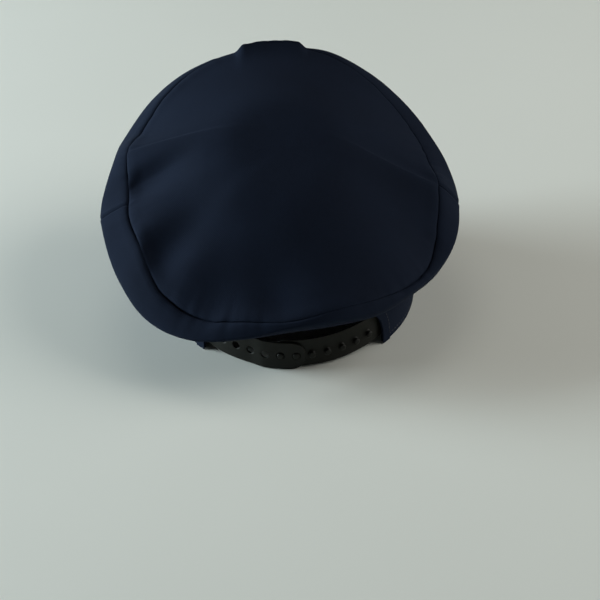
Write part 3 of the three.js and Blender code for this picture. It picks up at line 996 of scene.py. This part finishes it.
def arch_line(margin):
    """Angles and heights along the arch of the headband, some margin away from its edge."""
    turns = np.pi * np.arange(ARCH_STEPS + 1) / ARCH_STEPS
    across = np.sign(np.cos(turns)) * np.abs(np.cos(turns)) ** (2 / ARCH_SQUARENESS)
    height = (ARCH_TOP + margin) * np.abs(np.sin(turns)) ** (2 / ARCH_SQUARENESS)
    angle = np.degrees(np.arccos((ARCH_HALF_WIDTH + margin) * across / band_half_width(height)))
    return angle, height


def edge_line(margin):
    """Angles and heights of a line that follows the arch and the lower edge of the headband."""
    arch_angle, arch_height = arch_line(margin)
    rest = np.linspace(arch_angle[-1], arch_angle[0] + FULL_TURN, BAND_STEPS + 1)[1:-1]
    angle = np.concatenate([arch_angle, rest])
    height = np.concatenate([np.maximum(arch_height, margin), band_foot(rest) + margin])
    return angle, height


def band_normal(angle):
    turn = np.radians(angle)
    return unit(stacked(np.cos(turn) / BAND_HALF_WIDTH, np.sin(turn) / BAND_HALF_LENGTH, 0))


def band_places(points):
    """Places on the cut cloth for points of the headband."""
    turn = np.arctan2(points[:, 1], points[:, 0])
    return stacked(turn * BAND_HALF_LENGTH, points[:, 2], 0)


def make_headband(cloth):
    angles, low = edge_line(BAND_WALL / 2)
    high = BAND_TOP - BAND_WALL / 2
    height = mix(high, low[:, None], np.linspace(0, 1, BAND_COLUMNS)[None, :])
    grid = band_point(angles[:, None], height)
    points, faces = wall_mesh(grid, BAND_WALL, wraps=True)
    piece = make_object("head_band", points, faces, cloth, band_places(points))
    return dress(piece, "headband")


def make_arch_hem(cloth):
    """Hem folded out along the arch's edge, on the outside of the headband."""
    lines = []
    for margin in np.linspace(HEM_WIDTH, HEM_WALL / 2, HEM_COLUMNS):
        angle, height = arch_line(margin)
        face = band_point(angle, np.maximum(height, HEM_WALL / 2))
        raise_by = HEM_RAISE + HEM_SWELL * pucker(angle * HEM_PACE)
        lines.append(face + band_normal(angle) * raise_by[:, None])
    points, faces = wall_mesh(np.stack(lines, axis=1), HEM_WALL, wraps=False)
    piece = make_object("arch_hem", points, faces, cloth, band_places(points))
    return dress(piece)


def peak_depth(angle):
    """How far the peak reaches out from the headband."""
    spread = (angle - FRONT) / PEAK_HALF_SPREAD
    rest = np.clip(1 - spread**2, 0, None)
    return PEAK_END_DEPTH + (PEAK_DEPTH - PEAK_END_DEPTH) * rest**PEAK_SHAPE


def peak_point(angle, out):
    """A point on the peak's upper face, some way out from the headband."""
    depth = peak_depth(angle)
    share = np.clip(out / depth, 0, 1)
    root = band_foot(angle) - GAP
    camber = PEAK_CAMBER * 4 * share * (1 - share) * (depth / PEAK_DEPTH)
    return band_point(angle, mix(root, PEAK_WALL, share) + camber, -out, root)


def make_peak(cloth):
    angles = FRONT + PEAK_HALF_SPREAD * np.linspace(-1, 1, PEAK_STEPS + 1)[:, None]
    edge = peak_depth(angles) - PEAK_WALL / 2
    out = mix(-BAND_WALL + PEAK_WALL / 2, edge, np.linspace(0, 1, PEAK_COLUMNS)[None, :])
    grid = peak_point(angles, out)
    points, faces = wall_mesh(grid, PEAK_WALL, wraps=False)
    points[:, 2] = np.maximum(points[:, 2], 0)
    piece = make_object("front_peak", points, faces, cloth, flattened(points))
    return dress(piece, "peak")


# Stitching


def evenly_spaced(path, normals, pitch):
    """Points a pitch apart along a path, with the path's direction and its normal there."""
    steps = np.linalg.norm(np.diff(path, axis=0), axis=1)
    length = np.concatenate([[0], np.cumsum(steps)])
    stops = np.arange(pitch / 2, length[-1], pitch)

    def at(values, where):
        return np.stack([np.interp(where, length, column) for column in values.T], axis=-1)

    places = at(path, stops)
    ahead = at(path, stops + SMALL_STEP)
    return places, unit(ahead - places), unit(at(normals, stops))


def stitch_mesh(places, along, normals):
    """Short rounded bars of thread, their ends drawn down into the cloth."""
    sideways = np.cross(normals, along)
    points = []
    for ring in STITCH_PROFILE:
        middle = places + along * ring.along * STITCH_LENGTH / 2 + normals * ring.rise * STITCH_RADIUS
        for turn in 2 * np.pi * np.arange(STITCH_SIDES) / STITCH_SIDES:
            offset = math.cos(turn) * sideways + math.sin(turn) * normals
            points.append(middle + offset * ring.fatness * STITCH_RADIUS)
    points = np.stack(points, axis=1)
    faces = []
    for index in range(len(places)):
        faces += tube_faces(index * points.shape[1], len(STITCH_PROFILE), STITCH_SIDES)
    return points.reshape(-1, 3), faces


def make_band_stitches(thread):
    """One row of stitches that follows the lower edge and the arch of the headband."""
    angles, heights = edge_line(STITCH_MARGIN)
    normals = band_normal(angles)
    on_hem = np.arange(len(angles)) <= ARCH_STEPS
    path = band_point(angles, heights) + normals * np.where(on_hem, HEM_RAISE, 0)[:, None]
    points, faces = stitch_mesh(*evenly_spaced(path, normals, STITCH_PITCH))
    return dress(make_object("band_stitches", points, faces, thread))


def make_peak_stitches(thread):
    """One row of stitches that follows the edge of the peak."""
    spread = PEAK_HALF_SPREAD * np.linspace(-PEAK_STITCH_SHARE, PEAK_STITCH_SHARE, PEAK_STITCH_SAMPLES)
    angles = FRONT + spread
    angles = angles[peak_depth(angles) > STITCH_MARGIN + PEAK_STITCH_LEAST]
    out = peak_depth(angles) - STITCH_MARGIN
    path = peak_point(angles, out)
    outwards = peak_point(angles, out + SMALL_REACH) - path
    normals = unit(np.cross(outwards, np.gradient(path, axis=0)))
    points, faces = stitch_mesh(*evenly_spaced(path, normals, STITCH_PITCH))
    return dress(make_object("peak_stitches", points, faces, thread))


# Snap strap


def strap_normal(along):
    turn = np.pi / 2 - along / STRAP_PACE
    return unit(stacked(np.cos(turn) / STRAP_HALF_WIDTH, np.sin(turn) / STRAP_HALF_LENGTH, 0))


def strap_point(along, up, out):
    """A point of the strap: along it from the middle of the back, up it, and out from the head."""
    turn = np.pi / 2 - along / STRAP_PACE
    lift = STRAP_END_LIFT * (along / STRAP_END) ** 2
    seat = stacked(STRAP_HALF_WIDTH * np.cos(turn), STRAP_HALF_LENGTH * np.sin(turn), lift + up)
    return seat + strap_normal(along) * np.asarray(out)[..., None]


def strap_outline(tip, end):
    """Outline of a flat strap piece with one round tip, along and up from its lower edge."""
    half = STRAP_WIDTH / 2
    towards = 1 if end > tip else -1
    turns = np.linspace(np.pi / 2, 3 * np.pi / 2, STRAP_TIP_POINTS)
    arc = [(tip + towards * half * (1 + math.cos(t)), half + half * math.sin(t)) for t in turns]
    return arc + [(end, 0.0), (end, STRAP_WIDTH)]


def add_outline(curve, outline):
    spline = curve.splines.new("POLY")
    spline.points.add(len(outline) - 1)
    for point, (along, up) in zip(spline.points, outline):
        point.co = (along, up, 0, 1)
    spline.use_cyclic_u = True


def hole_outline(along, up):
    turns = 2 * np.pi * np.arange(HOLE_SIDES)[::-1] / HOLE_SIDES
    return [(along + HOLE_RADIUS * math.cos(t), up + HOLE_RADIUS * math.sin(t)) for t in turns]


def plate_mesh(outline, holes):
    """A flat plate with rounded edges and round holes."""
    curve = bpy.data.curves.new("plate", "CURVE")
    curve.dimensions = "2D"
    curve.fill_mode = "BOTH"
    curve.extrude = STRAP_WALL / 2 - STRAP_BEVEL
    curve.bevel_depth = STRAP_BEVEL
    curve.bevel_resolution = STRAP_BEVEL_STEPS
    curve.offset = -STRAP_BEVEL
    add_outline(curve, outline)
    for along, up in holes:
        add_outline(curve, hole_outline(along, up))
    plate = add_object("plate", curve)
    ready = plate.evaluated_get(bpy.context.evaluated_depsgraph_get())
    mesh = bpy.data.meshes.new_from_object(ready)
    bpy.data.objects.remove(plate)
    return mesh


def sliced_plate(outline, holes):
    """Points and faces of a flat plate, cut across at close intervals so that it can bend."""
    work = bmesh.new()
    work.from_mesh(plate_mesh(outline, holes))
    bmesh.ops.remove_doubles(work, verts=work.verts, dist=PLATE_WELD)
    places = [point[0] for point in outline]
    for cut in np.arange(min(places) + STRAP_SLICE, max(places), STRAP_SLICE):
        everything = work.verts[:] + work.edges[:] + work.faces[:]
        bmesh.ops.bisect_plane(work, geom=everything, plane_co=(cut, 0, 0), plane_no=(1, 0, 0))
    points = np.array([vert.co[:] for vert in work.verts])
    faces = [[vert.index for vert in face.verts] for face in work.faces]
    work.free()
    return points, faces


def bent_strap(outline, holes, slip, out_at):
    """A flat strap piece laid round the head; out_at is its inner face's distance from the seat."""
    points, faces = sliced_plate(outline, holes)
    along, up, depth = points[:, 0], points[:, 1], points[:, 2]
    out = out_at(along) + depth + STRAP_WALL / 2
    return strap_point(along, up + slip, out), faces


def post_mesh(along):
    """A snap post with a domed head, standing out from the strap."""
    middle = strap_point(along, STRAP_WIDTH / 2, STRAP_WALL)
    normal = strap_normal(along)
    upward = np.array([0.0, 0.0, 1.0])
    sideways = np.cross(upward, normal)
    points = []
    for radius, height in POST_PROFILE:
        for turn in 2 * np.pi * np.arange(POST_SIDES) / POST_SIDES:
            offset = math.cos(turn) * sideways + math.sin(turn) * upward
            points.append(middle + normal * height + offset * radius)
    return np.array(points), tube_faces(0, len(POST_PROFILE), POST_SIDES, end_cap=False)


def step_over(along):
    """How far the left piece stands out where it laps over the right one."""
    return (STRAP_WALL + GAP) * (1 - smooth(along, STEP_OVER_TO, STEP_OVER_FROM))


def make_strap_holes(plastic):
    holes = [(FIRST_HOLE + i * HOLE_PITCH, STRAP_WIDTH / 2) for i in range(HOLE_COUNT)]
    points, faces = bent_strap(strap_outline(HOLED_TIP, STRAP_END), holes, 0, step_over)
    return dress(make_object("holed_strap", points, faces, plastic), "strap_holes")


def make_strap_posts(plastic):
    points, faces = bent_strap(strap_outline(POSTED_TIP, -STRAP_END), [], STRAP_SLIP, np.zeros_like)
    for i in range(POST_COUNT):
        post_points, post_faces = post_mesh(FIRST_HOLE + HOLE_PITCH - i * HOLE_PITCH)
        faces += [[corner + len(points) for corner in face] for face in post_faces]
        points = np.concatenate([points, post_points])
    return dress(make_object("posted_strap", points, faces, plastic), "strap_posts")


# Set


def make_floor():
    mesh = bpy.data.meshes.new("floor")
    corners = [(-1, -1), (1, -1), (1, 1), (-1, 1)]
    points = [(x * FLOOR_HALF_SIZE, y * FLOOR_HALF_SIZE, 0) for x, y in corners]
    mesh.from_pydata(points, [], [[0, 1, 2, 3]])
    mesh.materials.append(make_floor_paint())
    floor = add_object("floor", mesh)


def make_light(light):
    direction = Vector((light.x, light.y, light.z)).normalized()
    data = bpy.data.lights.new(light.name, "AREA")
    data.shape = "DISK"
    data.size = light.size
    data.energy = light.power
    data.color = light.colour
    lamp = add_object(light.name, data)
    lamp.location = LIGHT_DISTANCE * direction
    aim = Vector((0, 0, LIGHT_AIM_HEIGHT)) - lamp.location
    lamp.rotation_euler = aim.to_track_quat("-Z", "Y").to_euler()


def make_lights():
    world = bpy.data.worlds.new("studio")
    world.use_nodes = True
    background = world.node_tree.nodes["Background"]
    background.inputs["Color"].default_value = (*ROOM_COLOUR, 1)
    background.inputs["Strength"].default_value = ROOM_LIGHT
    bpy.context.scene.world = world
    for light in LIGHTS:
        make_light(light)


def make_camera():
    elevation = math.radians(VIEW_ELEVATION)
    turn = math.radians(VIEW_TURN)
    roll = math.radians(VIEW_ROLL)
    outwards = Vector((math.sin(turn), math.cos(turn), 0))
    back = math.cos(elevation) * outwards + Vector((0, 0, math.sin(elevation)))
    level = Vector((-math.cos(turn), math.sin(turn), 0))
    upright = back.cross(level)
    right = math.cos(roll) * level - math.sin(roll) * upright
    up = math.sin(roll) * level + math.cos(roll) * upright
    data = bpy.data.cameras.new("camera")
    data.lens = VIEW_LENS
    data.sensor_width = VIEW_SENSOR
    data.clip_end = VIEW_CLIP
    camera = add_object("camera", data)
    place = back * VIEW_DISTANCE + right * VIEW_RIGHT + up * VIEW_UP
    turned = Matrix((right, up, back)).transposed().to_4x4()
    camera.matrix_world = Matrix.Translation(Vector(to_frame(place))) @ turned
    bpy.context.scene.camera = camera


def build_cap():
    cloth = make_cloth()
    thread = make_thread()
    plastic = make_plastic()
    top_turning = make_top_turning(cloth)
    top = make_crown_top(cloth)
    round_to_left = SIDE_SEAM_LEFT + FULL_TURN
    front = make_ring_half("ring_front", "crown_side_front", SIDE_SEAM_RIGHT, round_to_left, cloth)
    back = make_ring_half("ring_back", "crown_side_back", SIDE_SEAM_LEFT, SIDE_SEAM_RIGHT, cloth)
    left_turning = make_side_turning("left_seam_turning", SIDE_SEAM_LEFT, cloth)
    right_turning = make_side_turning("right_seam_turning", SIDE_SEAM_RIGHT, cloth)
    band = make_headband(cloth)
    hem = make_arch_hem(cloth)
    band_stitches = make_band_stitches(thread)
    make_peak(cloth)
    make_peak_stitches(thread)
    make_strap_holes(plastic)
    make_strap_posts(plastic)


build_cap()
make_floor()
make_lights()
make_camera()
bpy.context.scene.view_settings.view_transform = "Standard"
